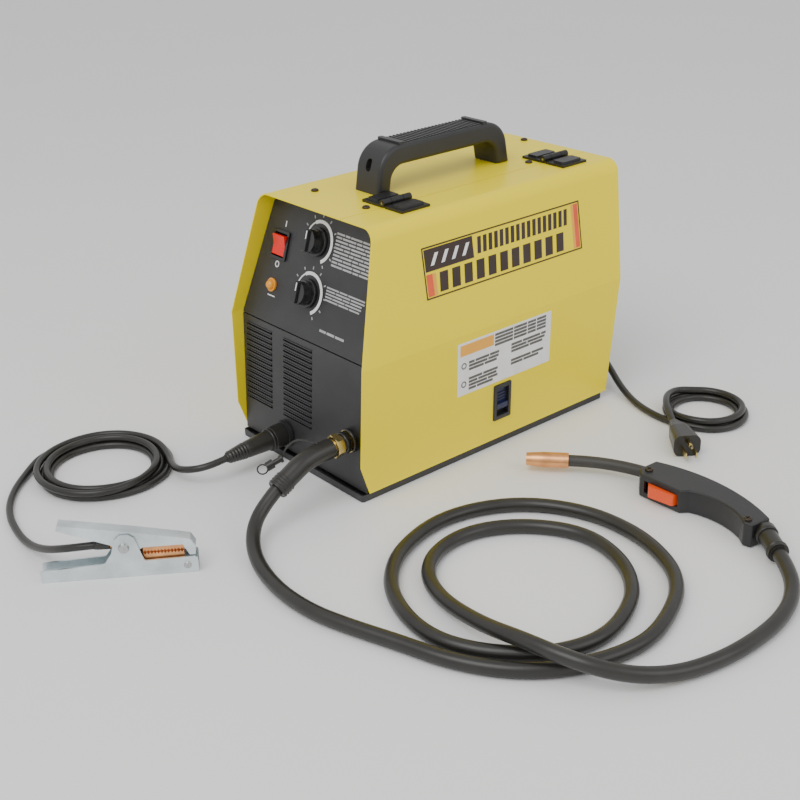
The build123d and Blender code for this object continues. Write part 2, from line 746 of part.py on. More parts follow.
with BuildPart() as clamp_lower_arm:
    with BuildSketch(clamp_side):
        with BuildLine():
            FilletPolyline((164, 0), (164, 19), (109, 18), (101, 46), (95, 50.5),
                           (86, 50.5), (80, 45), (75, 28), (67, 17), (0, 14), (0, 0),
                           radius=[2, 3, 3, 3, 3, 3, 4, 4, 4, 2, 1.5], close=True)
        make_face()
    extrude(amount=clamp_width / 2, both=True)
    with BuildSketch(clamp_side):
        with Locations((82, clamp_sheet + 40)):
            Rectangle(200, 80)
    extrude(amount=clamp_width / 2 - clamp_sheet, both=True, mode=Mode.SUBTRACT)
    with BuildSketch(clamp_side):
        with Locations((pivot_s, pivot_z)):
            Circle(clamp_pin_r)
    extrude(amount=clamp_width, both=True, mode=Mode.SUBTRACT)
save(clamp_lower_arm, "clamp_lower_arm")

upper_half = clamp_width / 2 - clamp_sheet - 0.4
upper_outline = [(22, 60), (24, 66), (66, 58), (96, 52.5), (124, 46.5), (158, 39), (163, 30),
                 (162, 20), (156, 20), (150, 33), (108, 33), (99, 26), (84, 26), (76, 38)]
with BuildPart() as clamp_upper_arm:
    with BuildSketch(clamp_side):
        with BuildLine():
            Polyline(*upper_outline, close=True)
        make_face()
    extrude(amount=upper_half, both=True)
    with BuildSketch(clamp_side):
        with BuildLine():
            Polyline((20, 40), (24, 64.2), (66, 56.2), (96, 50.7), (124, 44.7), (157, 37.4),
                     (160.6, 30), (160, 16), (90, 10), close=True)
        make_face()
    extrude(amount=upper_half - 1.6, both=True, mode=Mode.SUBTRACT)
    with BuildSketch(clamp_side):
        with Locations((pivot_s, pivot_z)):
            Circle(clamp_pin_r + running)
    extrude(amount=clamp_width, both=True, mode=Mode.SUBTRACT)
save(clamp_upper_arm, "clamp_upper_arm")

with BuildPart() as clamp_pin:
    with BuildSketch(clamp_side):
        with Locations((pivot_s, pivot_z)):
            Circle(clamp_pin_r)
    extrude(amount=clamp_width / 2, both=True)
    for face in (-1, 1):
        with BuildSketch(clamp_side.offset(face * clamp_width / 2)):
            with Locations((pivot_s, pivot_z)):
                Circle(6)
        extrude(amount=face * 2.6, taper=22)
save(clamp_pin, "clamp_pin")

with BuildPart() as clamp_spring:
    for face in (-1, 1):
        for turn in range(2):
            ring = clamp_side.offset(face * (1.2 + 2.3 * turn))
            with Locations(ring.location * Location((pivot_s, pivot_z, 0))):
                Torus(5.4, 1)
    with BuildSketch(clamp_side):
        with Locations((pivot_s, pivot_z)):
            Circle(4.9)
            Circle(4.3, mode=Mode.SUBTRACT)
    extrude(amount=4.2, both=True)
save(clamp_spring, "clamp_spring")

tooth = 3.5
with BuildPart() as lower_contact:
    with BuildSketch(clamp_side):
        with BuildLine():
            teeth = []
            for step in range(12):
                teeth += [(108 + tooth * step, 25.4), (108 + tooth * (step + 0.5), 22.8)]
            Polyline((108, 12), *teeth, (150, 25.4), (150, 12), close=True)
        make_face()
    extrude(amount=5.2, both=True)
    with BuildSketch(clamp_side):
        with BuildLine():
            Polyline((78, 38), (78, 12), (112, 12), (112, 14), (80, 14), (80, 38), close=True)
        make_face()
    extrude(amount=5, both=True)
    lug_plane = Plane(origin=clamp_side.from_local_coords((64, 36, 0)), z_dir=clamp_ahead)
    with BuildSketch(lug_plane):
        Circle(5)
    extrude(amount=15)
    with BuildSketch(clamp_side):
        with Locations((129, 7)):
            Rectangle(10, 10)
    extrude(amount=5, both=True)
save(lower_contact, "lower_contact")

with BuildPart() as upper_contact:
    with BuildSketch(clamp_side):
        with BuildLine():
            teeth = []
            for step in range(12):
                teeth += [(108 + tooth * step, 26.2), (108 + tooth * (step + 0.5), 28.4)]
            Polyline((108, 36), *teeth, (150, 26.2), (150, 36), (129, 44), close=True)
        make_face()
    extrude(amount=5.2, both=True)
save(upper_contact, "upper_contact")

# ---------------------------------------------------------------- torch
torch_half_height = 14.2
trigger_pivot = (16.0, -11.5)   # on the torch's own plane

with BuildLine() as handle_outline:
    far = ThreePointArc((-6, 16), (78, 31), (160, 11))
    Polyline(far @ 1, (157, -14), (148, -17), (138, -10))
    ThreePointArc((138, -10), (102, -1.5), (66, -8))
    Polyline((66, -8), (60, -17), (4, -21), (-6, -11), (-6, 16))


for name, side in (("torch_handle_upper", 1), ("torch_handle_lower", -1)):
    with BuildPart() as shell:
        with BuildSketch(torch_plane):
            add(handle_outline.line)
            make_face()
            fillet(vertices(), radius=2.4)
        extrude(amount=side * torch_half_height)
        rim = shell.faces().sort_by(Axis.Z)[-1 if side > 0 else 0].edges()
        fillet(rim, radius=2)
        with BuildSketch(torch_plane):
            add(handle_outline.line)
            make_face()
            offset(amount=-3, mode=Mode.REPLACE)
        extrude(amount=side * (torch_half_height - 3), mode=Mode.SUBTRACT)
        with BuildSketch(torch_plane):
            with Locations((33.5, -16.5)):
                Rectangle(47, 27)
        extrude(amount=side * 7.5, mode=Mode.SUBTRACT)
        with BuildSketch(torch_plane):
            for u, v in torch_screw_places:
                with Locations((u, v)):
                    Circle(4.4)
        extrude(amount=side * (torch_half_height - 2.5))
        neck_way = Plane(origin=torch_plane.from_local_coords((10, 10.5, 0)),
                         z_dir=torch_plane.x_dir * -0.975 + torch_plane.y_dir * -0.22)
        with Locations(neck_way.location):
            Cylinder(7.05, 44, mode=Mode.SUBTRACT)
        rear_way = Plane(origin=(519, 20, 14.5), z_dir=Vector(-26, 17.3, 2))
        with BuildSketch(rear_way):
            Circle(10.6)
        extrude(amount=60, mode=Mode.SUBTRACT)
        if side < 0:
            with BuildSketch(torch_plane.offset(-torch_half_height + 3)):
                with Locations(trigger_pivot):
                    Circle(2)
            extrude(amount=2 * torch_half_height - 6)
    save(shell, name)

with BuildPart() as torch_sleeve:
    with BuildSketch(rear_way):
        Circle(9.6)
    extrude(amount=4)
    with BuildSketch(rear_way.offset(4)):
        Circle(10.4)
    extrude(amount=34)
    with BuildSketch(rear_way.offset(2)):
        Circle(11.4)
    extrude(amount=3)
save(torch_sleeve, "torch_sleeve")

with BuildPart() as torch_trigger:
    with BuildSketch(torch_plane):
        with BuildLine():
            FilletPolyline((12, -7), (11, -14), (21, -26), (52, -21), (55.5, -8), (54, -5),
                           radius=[1.5, 3, 4, 3, 1.5, 1], close=True)
        make_face()
        with Locations(trigger_pivot):
            Circle(2 + running, mode=Mode.SUBTRACT)
    extrude(amount=7, both=True)
save(torch_trigger, "torch_trigger")

with BuildPart() as torch_neck:
    with BuildLine(torch_plane) as neck_path:
        start = Line((24, 13.6), (-4, 7.3))
        bend = JernArc(start=start @ 1, tangent=start % 1, radius=172, arc_size=31.2)
        Line(bend @ 1, bend @ 1 + (bend % 1) * 13)
    with BuildSketch(Plane(origin=neck_path.wires()[0] @ 0, z_dir=neck_path.wires()[0] % 0)):
        Circle(7)
    sweep(path=neck_path.wires()[0])
nose = Plane(origin=neck_path.wires()[0] @ 1, z_dir=neck_path.wires()[0] % 1)
save(torch_neck, "torch_neck")

nozzle_length = 50.0
with BuildPart() as torch_nozzle:
    with BuildSketch(nose.offset(-6)):
        Circle(9.2)
    extrude(amount=30)
    with BuildSketch(nose.offset(24)):
        Circle(9.2)
    with BuildSketch(nose.offset(nozzle_length - 6)):
        Circle(7.6)
    loft()
    with BuildSketch(nose.offset(-6)):
        Circle(7.0)
    extrude(amount=30, mode=Mode.SUBTRACT)
    with BuildSketch(nose.offset(24)):
        Circle(7.0)
    with BuildSketch(nose.offset(nozzle_length - 6)):
        Circle(6.2)
    loft(mode=Mode.SUBTRACT)
save(torch_nozzle, "torch_nozzle")

with BuildPart() as contact_tip:
    with BuildSketch(nose):
        Circle(5.2)
    extrude(amount=14)
    with BuildSketch(nose.offset(14)):
        Circle(3.6)
    extrude(amount=20, taper=3)
    with BuildSketch(nose):
        Circle(0.6)
    extrude(amount=60, mode=Mode.SUBTRACT)
save(contact_tip, "contact_tip")

# ---------------------------------------------------------------- inside, power side
core_x, core_y, core_z = -60.0, -5.0, 56.0
with BuildPart() as transformer_core:
    with BuildSketch(Plane.YZ.offset(core_x)):
        with Locations((core_y, core_z)):
            Rectangle(110, 100)
            with GridLocations(54, 0, 2, 1):
                Rectangle(20, 62, mode=Mode.SUBTRACT)
    extrude(amount=35, both=True)
    for side in (-1, 1):
        with BuildSketch(Plane.XY.offset(sheet)):
            with Locations((core_x, core_y + side * 46)):
                Rectangle(90, 18)
        extrude(amount=4.5)
save(transformer_core, "transformer_core")

with BuildPart() as windings:
    with BuildSketch(Plane.XY.offset(core_z - 30)):
        with Locations((core_x, core_y)):
            RectangleRounded(102, 73, 10)
            Rectangle(71, 35, mode=Mode.SUBTRACT)
    extrude(amount=60)
save(windings, "windings")

with BuildPart() as rectifier:
    with BuildSketch(Plane.XZ.offset(92)):
        with Locations((-60, 12)):
            Rectangle(84, 8)
        with Locations((-60, 35)):
            with GridLocations(9, 0, 10, 1):
                Rectangle(2.4, 38)
        with Locations((-60, 5)):
            Rectangle(30, 7)
    extrude(amount=42)
    with BuildSketch(Plane.XY.offset(sheet)):
        with Locations((-96, -113), (-24, -113)):
            Rectangle(8, 30)
    extrude(amount=7)
save(rectifier, "rectifier")

fan_front = rear_panel_y - sheet - 28
with BuildPart() as fan_frame:
    with BuildSketch(Plane.XZ.offset(-fan_front)):
        with Locations((fan_x, fan_z)):
            RectangleRounded(119, 119, 6)
            Circle(fan_radius + 1.5, mode=Mode.SUBTRACT)
            with GridLocations(105, 105, 2, 2):
                Circle(2.2, mode=Mode.SUBTRACT)
    extrude(amount=-26)
    with BuildSketch(Plane.XZ.offset(-fan_front - 19)):
        with Locations((fan_x, fan_z)):
            Circle(19)
            with PolarLocations(0, 3):
                with Locations((37, 0)):
                    Rectangle(40, 6)
    extrude(amount=-7)
    with BuildSketch(Plane.XZ.offset(-fan_front - 6)):
        with Locations((fan_x, fan_z)):
            Circle(2.5)
    extrude(amount=-14)
save(fan_frame, "fan_frame")

with BuildPart() as fan_blade:
    with BuildSketch(Plane.XZ.offset(-fan_front - 2)):
        with Locations((fan_x, fan_z)):
            Circle(20)
    extrude(amount=-16)
    hub = Location((fan_x, fan_front + 10, fan_z), (90, 0, 0))
    with Locations(hub):
        with PolarLocations(36, 7):
            with Locations(Location((0, 0, 0), (35, 0, 0))):
                Box(33, 24, 1.6)
    with BuildSketch(Plane.XZ.offset(-fan_front)):
        with Locations((fan_x, fan_z)):
            Circle(2.5 + running)
    extrude(amount=-22, mode=Mode.SUBTRACT)
save(fan_blade, "fan_blade")

# ---------------------------------------------------------------- inside, wire side
roll_y, roll_z, roll_r = -120.0, 54.4, 15.0
plate_x = 80.0
idler_r = 13.0
idler_z = roll_z + roll_r + 1.0 + idler_r
arm_pivot = (-152.0, idler_z + 4)
screw_y = -90.0
arm_x = 100.5
with BuildPart() as feed_motor:
    with BuildSketch(Plane.YZ.offset(divider_x - 22)):
        with Locations((roll_y, roll_z)):
            Circle(26)
    extrude(amount=plate_x - divider_x + 22)
    with BuildSketch(Plane.YZ.offset(plate_x)):
        with Locations((-119, 62)):
            RectangleRounded(84, 88, 5)
    extrude(amount=4)
    with BuildSketch(Plane.YZ.offset(plate_x)):
        with Locations((-119, 10)):
            Rectangle(84, 17)
    extrude(amount=4)
    for (y, z), radius, end in (((roll_y, roll_z), 5.0, 99.0), (arm_pivot, 3.0, arm_x + 8)):
        with BuildSketch(Plane.YZ.offset(plate_x + 4)):
            with Locations((y, z)):
                Circle(radius)
        extrude(amount=end - plate_x - 4)
    with BuildSketch(Plane.YZ.offset(plate_x + 4)):
        with Locations((screw_y, 56)):
            Rectangle(12, 12)
    extrude(amount=arm_x + 10 - plate_x - 4)
    with Locations((arm_x + 3.5, screw_y, 56)):
        Cylinder(2.5 + running, 13, mode=Mode.SUBTRACT)
save(feed_motor, "feed_motor")

with BuildPart() as drive_roll:
    with BuildSketch(Plane.XZ.offset(-roll_y)):
        with BuildLine():
            Polyline((85, roll_z), (85, roll_z + roll_r), (92, roll_z + roll_r),
                     (93, roll_z + roll_r - 0.7), (94, roll_z + roll_r), (98, roll_z + roll_r),
                     (98, roll_z), close=True)
        make_face()
    revolve(axis=Axis((0, roll_y, roll_z), (1, 0, 0)))
    with Locations(Location((92, roll_y, roll_z), (0, 90, 0))):
        Cylinder(5 + running, 30, mode=Mode.SUBTRACT)
save(drive_roll, "drive_roll")

with BuildPart() as pressure_arm:
    with BuildSketch(Plane.YZ.offset(arm_x)):
        with BuildLine():
            FilletPolyline((-158, idler_z + 12), (-158, idler_z - 3), (-130, idler_z - 8),
                           (-82, idler_z + 2), (-82, idler_z + 12),
                           radius=[5, 5, 6, 3, 3], close=True)
        make_face()
        with Locations(arm_pivot):
            Circle(3 + running, mode=Mode.SUBTRACT)
    extrude(amount=7)
    with BuildSketch(Plane.XY.offset(idler_z - 12)):
        with Locations((arm_x + 3.5, screw_y + 5)):
            Rectangle(8, 18)
    extrude(amount=30, mode=Mode.SUBTRACT)
    with BuildSketch(Plane.YZ.offset(85)):
        with Locations((roll_y, idler_z)):
            Circle(3)
    extrude(amount=arm_x + 3 - 85)
save(pressure_arm, "pressure_arm")

with BuildPart() as pressure_roll:
    with Locations(Location((91.6, roll_y, idler_z), (0, 90, 0))):
        Cylinder(idler_r, 13)
        Cylinder(3 + running, 20, mode=Mode.SUBTRACT)
    chamfer(pressure_roll.edges().filter_by(GeomType.CIRCLE).sort_by(SortBy.LENGTH)[-2:], 1)
save(pressure_roll, "pressure_roll")

with BuildPart() as tension_knob:
    with BuildSketch(Plane.XY.offset(51)):
        with Locations((arm_x + 3.5, screw_y)):
            Circle(2.5)
    extrude(amount=idler_z + 22 - 51)
    with BuildSketch(Plane.XY.offset(idler_z + 21)):
        with Locations((arm_x + 3.5, screw_y)):
            Circle(8)
    extrude(amount=17, taper=3)
    with Locations((arm_x + 3.5, screw_y, idler_z + 29)):
        with PolarLocations(8.4, 12):
            Cylinder(1.1, 20, mode=Mode.SUBTRACT)
save(tension_knob, "tension_knob")

spool_y, spool_z = 75.0, 150.0
with BuildPart() as spool_spindle:
    for start, end, radius in ((divider_x + sheet, divider_x + sheet + 4, 36),
                               (divider_x + sheet + 4, 110, 25)):
        with BuildSketch(Plane.YZ.offset(start)):
            with Locations((spool_y, spool_z)):
                Circle(radius)
        extrude(amount=end - start)
    with BuildSketch(Plane.YZ.offset(110)):
        with Locations((spool_y, spool_z)):
            Circle(14)
    extrude(amount=-12, mode=Mode.SUBTRACT)
save(spool_spindle, "spool_spindle")

with BuildPart() as wire_spool:
    with BuildSketch(Plane.YZ.offset(54)):
        with Locations((spool_y, spool_z)):
            Circle(30)
    extrude(amount=53)
    for start in (54, 104):
        with BuildSketch(Plane.YZ.offset(start)):
            with Locations((spool_y, spool_z)):
                Circle(100)
                with PolarLocations(62, 6):
                    SlotOverall(36, 12, mode=Mode.SUBTRACT)
        extrude(amount=3)
    with Locations(Location((80, spool_y, spool_z), (0, 90, 0))):
        Cylinder(25 + running, 70, mode=Mode.SUBTRACT)
save(wire_spool, "wire_spool")

with BuildPart() as welding_wire:
    with BuildSketch(Plane.YZ.offset(57)):
        with Locations((spool_y, spool_z)):
            Circle(84)
            Circle(30, mode=Mode.SUBTRACT)
    extrude(amount=47)
save(welding_wire, "welding_wire")
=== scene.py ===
"""A wire-feed welder with its torch, ground clamp and mains cord on a pale studio floor."""

import json
from math import cos, pi, radians, sin

import bmesh
import bpy
from mathutils import Matrix, Vector


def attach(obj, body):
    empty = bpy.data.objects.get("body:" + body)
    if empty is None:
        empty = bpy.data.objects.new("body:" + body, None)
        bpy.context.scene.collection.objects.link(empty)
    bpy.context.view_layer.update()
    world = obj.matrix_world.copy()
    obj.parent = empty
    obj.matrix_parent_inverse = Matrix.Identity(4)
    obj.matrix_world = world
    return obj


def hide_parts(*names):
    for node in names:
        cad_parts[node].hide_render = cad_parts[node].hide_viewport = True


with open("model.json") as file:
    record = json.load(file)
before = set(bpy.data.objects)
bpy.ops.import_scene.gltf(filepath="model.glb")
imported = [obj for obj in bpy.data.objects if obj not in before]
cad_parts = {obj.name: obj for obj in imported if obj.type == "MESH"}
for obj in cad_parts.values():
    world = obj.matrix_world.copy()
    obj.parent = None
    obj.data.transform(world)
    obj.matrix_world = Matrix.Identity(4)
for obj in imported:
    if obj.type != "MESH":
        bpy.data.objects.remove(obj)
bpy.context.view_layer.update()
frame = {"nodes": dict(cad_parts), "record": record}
MM = 0.001


# ---------------------------------------------------------------- camera
def place_camera():
    """A camera a little above and to the right of the machine's front corner."""
    turn, rise, roll = radians(50.34), radians(25.41), radians(1.87)
    back = Vector((sin(turn) * cos(rise), -cos(turn) * cos(rise), sin(rise)))
    right = (-back).cross(Vector((0, 0, 1))).normalized()
    down = (-back).cross(right)
    tilted_right = right * cos(roll) + down * sin(roll)
    tilted_up = right * sin(roll) - down * cos(roll)
    lens = bpy.data.cameras.new("camera")
    lens.lens = 58.3
    lens.sensor_width = 36
    lens.clip_end = 20
    eye = bpy.data.objects.new("camera", lens)
    turned = Matrix((tilted_right, tilted_up, back)).transposed().to_4x4()
    eye.matrix_world = Matrix.Translation((1.1464, -1.0023, 0.7446)) @ turned
    bpy.context.collection.objects.link(eye)
    bpy.context.scene.camera = eye


place_camera()


# ---------------------------------------------------------------- materials
def material(name, colour, roughness, metallic=0.0, mottle=0.12, patch=14.0, grain=900.0,
             bump=0.08, coat=0.0, stretch=(1, 1, 1), specular=0.5):
    """Broad colour variation, a fine grain in the roughness, and a bump from the same grain."""
    made = bpy.data.materials.new(name)
    made.use_nodes = True
    nodes, links = made.node_tree.nodes, made.node_tree.links
    shader = nodes["Principled BSDF"]
    shader.inputs["Metallic"].default_value = metallic
    shader.inputs["Specular IOR Level"].default_value = specular
    shader.inputs["Coat Weight"].default_value = coat
    shader.inputs["Coat Roughness"].default_value = 0.25
    place = nodes.new("ShaderNodeTexCoord")
    scaled = nodes.new("ShaderNodeMapping")
    scaled.inputs["Scale"].default_value = stretch
    links.new(place.outputs["Object"], scaled.inputs["Vector"])
    broad = nodes.new("ShaderNodeTexNoise")
    broad.inputs["Scale"].default_value = patch
    broad.inputs["Detail"].default_value = 6
    links.new(scaled.outputs["Vector"], broad.inputs["Vector"])
    shades = nodes.new("ShaderNodeValToRGB")
    shades.color_ramp.elements[0].position = 0.32
    shades.color_ramp.elements[1].position = 0.68
    shades.color_ramp.elements[0].color = [c * (1 - mottle) for c in colour] + [1]
    shades.color_ramp.elements[1].color = [min(1, c * (1 + mottle)) for c in colour] + [1]
    links.new(broad.outputs["Fac"], shades.inputs["Fac"])
    links.new(shades.outputs["Color"], shader.inputs["Base Color"])
    fine = nodes.new("ShaderNodeTexNoise")
    fine.inputs["Scale"].default_value = grain
    fine.inputs["Detail"].default_value = 3
    links.new(scaled.outputs["Vector"], fine.inputs["Vector"])
    spread = nodes.new("ShaderNodeMapRange")
    spread.inputs["To Min"].default_value = max(0.03, roughness - 0.08)
    spread.inputs["To Max"].default_value = min(1, roughness + 0.08)
    links.new(fine.outputs["Fac"], spread.inputs["Value"])
    links.new(spread.outputs["Result"], shader.inputs["Roughness"])
    relief = nodes.new("ShaderNodeBump")
    relief.inputs["Strength"].default_value = bump
    relief.inputs["Distance"].default_value = 0.0004
    links.new(fine.outputs["Fac"], relief.inputs["Height"])
    links.new(relief.outputs["Normal"], shader.inputs["Normal"])
    return made


brushed = (40, 1, 40)
looks = {
    "yellow_paint": material("yellow_paint", (0.97, 0.78, 0.008), 0.36, mottle=0.02, patch=5,
                             grain=1300, bump=0.05, specular=0.22),
    "black_paint": material("black_paint", (0.032, 0.032, 0.034), 0.42, mottle=0.15, patch=20,
                            grain=1600, bump=0.22),
    # Near-black painted shade, for the sheet set behind the louvre slots.
    "louvre_painted_shade": material("louvre_painted_shade", (0.006, 0.006, 0.006), 0.7),
    # A lighter copy of the black paint for the louvre lips: the lips are real, their lighter
    # colour is a painted highlight on the slot edges.
    "louvre_lip_painted_highlight": material("louvre_lip_painted_highlight", (0.045, 0.045, 0.047), 0.38, bump=0.12),
    "black_hinge": material("black_hinge", (0.012, 0.012, 0.012), 0.4, bump=0.1),
    "black_plastic": material("black_plastic", (0.022, 0.022, 0.023), 0.42, grain=1500, bump=0.2),
    "knob_plastic": material("knob_plastic", (0.008, 0.008, 0.009), 0.22, coat=0.4, bump=0.05),
    "blue_plastic": material("blue_plastic", (0.012, 0.017, 0.06), 0.35, bump=0.12),
    "switch_black": material("switch_black", (0.010, 0.010, 0.011), 0.22, coat=0.3),
    "switch_red": material("switch_red", (0.85, 0.012, 0.006), 0.25, coat=0.2, mottle=0.06,
                           specular=0.3),
    "lamp_amber": material("lamp_amber", (0.92, 0.36, 0.01), 0.12, coat=0.5, mottle=0.1),
    "trigger_orange": material("trigger_orange", (0.92, 0.09, 0.01), 0.3, coat=0.1, mottle=0.05),
    "dark_steel": material("dark_steel", (0.06, 0.045, 0.03), 0.4, metallic=0.6, grain=500),
    "steel": material("steel", (0.50, 0.50, 0.50), 0.32, metallic=1, stretch=brushed, grain=60),
    "zinc": material("zinc", (0.70, 0.76, 0.78), 0.3, metallic=0.9, patch=26, mottle=0.16,
                     grain=420, bump=0.06),
    "brass": material("brass", (0.62, 0.49, 0.20), 0.26, metallic=1, stretch=(1, 30, 1), grain=90),
    "copper": material("copper", (0.84, 0.40, 0.17), 0.34, metallic=0.9, patch=45, mottle=0.22,
                       grain=300, bump=0.12),
    "black_rubber": material("black_rubber", (0.021, 0.020, 0.017), 0.36, patch=30, mottle=0.2,
                             grain=1200, bump=0.12, coat=0.08),
    "neck_coat": material("neck_coat", (0.045, 0.042, 0.038), 0.5, grain=1500, bump=0.3),
    "core_iron": material("core_iron", (0.16, 0.15, 0.14), 0.55, metallic=0.7, grain=500,
                          stretch=(1, 1, 20), bump=0.3),
    "aluminium": material("aluminium", (0.58, 0.59, 0.60), 0.36, metallic=1, stretch=brushed,
                          grain=60),
    "motor_grey": material("motor_grey", (0.17, 0.18, 0.19), 0.4, bump=0.15),
    "board_green": material("board_green", (0.02, 0.13, 0.05), 0.35, coat=0.3),
    "white_print": material("white_print", (0.86, 0.86, 0.85), 0.5, mottle=0.05, patch=60),
    "grey_print": material("grey_print", (0.42, 0.42, 0.42), 0.55, mottle=0.1, patch=80),
    "dark_print": material("dark_print", (0.035, 0.018, 0.012), 0.4, mottle=0.15, patch=40),
    "label_grey": material("label_grey", (0.115, 0.11, 0.10), 0.5, mottle=0.25, patch=220),
    "orange_print": material("orange_print", (0.90, 0.42, 0.05), 0.45, mottle=0.06),
    "ember_print": material("ember_print", (0.80, 0.10, 0.03), 0.45, mottle=0.15, patch=40),
}

for part in frame["record"]["subparts"]:
    for place in frame["nodes"][part["node"]].material_slots:
        place.material = looks[part["material_slot"]]
for node, look in (("upper_knob", "knob_plastic"), ("lower_knob", "knob_plastic"),
                   ("screws", "dark_steel")):
    for place in frame["nodes"][node].material_slots:
        place.material = looks[look]


# ---------------------------------------------------------------- cords
def coil_turns(middle, start, sweep, tracks, steps=15):
    """Points of a loose coil: each turn keeps to its own track, (radius, height), then shifts."""
    points = []
    count = round(sweep / 360 * steps)
    for step in range(1, count):
        angle = sweep * step / count
        turn, share = divmod(angle / 360, 1)
        here = tracks[min(int(turn), len(tracks) - 1)]
        after = tracks[min(int(turn) + 1, len(tracks) - 1)]
        shift = max(0.0, (share - 0.72) / 0.28)
        ease = shift * shift * (3 - 2 * shift)
        radius = here[0] + (after[0] - here[0]) * ease
        height = here[1] + (after[1] - here[1]) * ease
        wobble = 0.9 * sin(radians(2 * angle) + turn)
        way = radians(start + angle)
        points.append((middle[0] + (radius + wobble) * cos(way),
                       middle[1] + (radius - wobble) * sin(way), height))
    return points


def cord(name, route, diameter, length, nodes, **facts):
    """One smooth free cord along a given route in millimetres."""
    curve = bpy.data.curves.new(name, "CURVE")
    curve.dimensions = "3D"
    curve.bevel_depth = diameter / 2 * MM
    curve.bevel_resolution = 5
    curve.resolution_u = 6
    curve.use_fill_caps = True
    spline = curve.splines.new("NURBS")
    spline.points.add(len(route) - 1)
    for place, point in zip(spline.points, route):
        place.co = (*[value * MM for value in point], 1)
    spline.order_u = 3
    spline.use_endpoint_u = True
    piece = bpy.data.objects.new(name, curve)
    bpy.context.collection.objects.link(piece)
    curve.materials.append(looks["black_rubber"])
    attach(piece, "welder")
    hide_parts(*nodes)
    return piece


plug_droop = radians(2.5)
plug_start = Vector((-35.0, -211.5, 32.0))
plug_way = Vector((0, -cos(plug_droop), -sin(plug_droop)))
ground_lead_route = [
    tuple(plug_start + plug_way * 82.5), (-35.5, -313, 26.5), (-46, -331, 23), (-68, -340, 17.5),
    (-93, -335, 13), (-116, -325, 11)]
ground_tail_route = [
    (-233, -437, 8), (-214, -463, 6), (-177, -503, 4.4), (-132, -529, 4.4), (-80, -540, 4.4),
    (-46, -542, 8), (-12, -541, 18), (16, -535, 29), (35.3, -522.8, 35), (47.7, -505, 36)]
ground_coil = coil_turns((-157, -394), 59, 1590, [(79, 13), (67.5, 13), (63.5, 4.6), (73, 4.6),
                                                  (83, 4.6)])
cord("ground_cable", ground_lead_route + ground_coil + ground_tail_route, 8.5, 2.41,
     ["ground_lead", "ground_coil", "ground_tail"], far_end="tool", stiffness="medium",
     lay="coiled", with_pieces=[frame["nodes"]["clamp_lower_arm"]])

torch_lead_route = [
    (95, -311, 46), (97, -334, 33), (112, -359, 18), (148, -380, 9),
    (205, -394, 8.1), (262, -393, 8.1), (309, -380, 8.1), (360, -362, 8.1),
    (414, -346, 8.1), (461, -317, 8.1), (493, -281, 8.1), (513, -233, 8.1),
    (519, -184, 8.1), (503, -134, 8.1), (481, -95, 8.1), (445, -65, 8.1),
    (385, -45, 8.1), (313, -50, 8.1), (247, -94, 8.1), (215, -172, 8.1),
    (233, -252, 8.1), (274, -303, 8.1), (325, -328, 8.1), (377, -334, 8.1),
    (419, -318, 8.1), (455, -288, 8.1), (476, -258, 8.1), (487, -218, 8.1),
    (478, -174, 8.1), (453, -129, 8.1), (405, -95, 8.1), (345, -86, 8.1),
    (291, -119, 8.1), (259, -171, 8.1), (262, -226, 8.1), (290, -266, 8.1),
    (338, -286, 9.5), (402, -294, 18), (456, -294, 29.5), (509, -284, 29.5),
    (548, -254, 19), (570, -210, 9.5), (583, -160, 8.1), (586, -110, 8.1),
    (582, -67, 8.1), (569, -28, 9), (545, 2.7, 12.5), (519, 20, 14.5)]
cord("torch_cable", torch_lead_route, 16, 2.44, ["torch_lead"], far_end="tool",
     stiffness="medium", lay="loose", with_pieces=[frame["nodes"]["torch_sleeve"]])

mains_cord_route = [
    (5, 205, 46), (5, 231, 45), (25, 256, 41), (59, 258, 32),
    (95, 242, 20), (128, 225, 10), (165, 209, 4.8), (202, 199, 4.6), (235, 197, 4.6),
    (263, 204, 6)]
mains_tail_route = [
    (194, 262, 15), (197, 238, 18), (211, 216, 20), (230, 198, 18), (251, 182.5, 14.5)]
mains_coil = coil_turns((246, 252), -70.5, 959, [(52, 4.8), (42.8, 4.8), (47.6, 13.2), (52, 15)])
cord("mains_cable", mains_cord_route + mains_coil + mains_tail_route, 9, 1.19,
     ["mains_cord", "mains_coil", "mains_tail"], far_end="plug", stiffness="medium",
     lay="coiled", with_pieces=[frame["nodes"]["mains_plug"]])


# ---------------------------------------------------------------- mesh helpers
def finish_piece(name, mesh, look, body, smooth=False):
    """Turn a bmesh into a named piece that rides on a body."""
    bmesh.ops.recalc_face_normals(mesh, faces=mesh.faces)
    made = bpy.data.meshes.new(name)
    mesh.to_mesh(made)
    mesh.free()
    made.materials.append(looks[look])
    for face in made.polygons:
        face.use_smooth = smooth
    piece = bpy.data.objects.new(name, made)
    bpy.context.collection.objects.link(piece)
    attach(piece, body)
    return piece


def lathe(name, profile, start, way, look, body, sides=40):
    """A closed turned piece: profile holds (distance along way, radius), in millimetres."""
    way = Vector(way).normalized()
    across = way.orthogonal().normalized()
    other = way.cross(across)
    mesh = bmesh.new()
    rings = []
    for along, radius in profile:
        ring = []
        for side in range(sides):
            angle = 2 * pi * side / sides
            spoke = (across * cos(angle) + other * sin(angle)) * radius
            ring.append(mesh.verts.new((Vector(start) + way * along + spoke) * MM))
        rings.append(ring)
    for low, high in zip(rings, rings[1:] + rings[:1]):
        for side in range(sides):
            after = (side + 1) % sides
            mesh.faces.new((low[side], low[after], high[after], high[side]))
    return finish_piece(name, mesh, look, body, smooth=sides > 12)


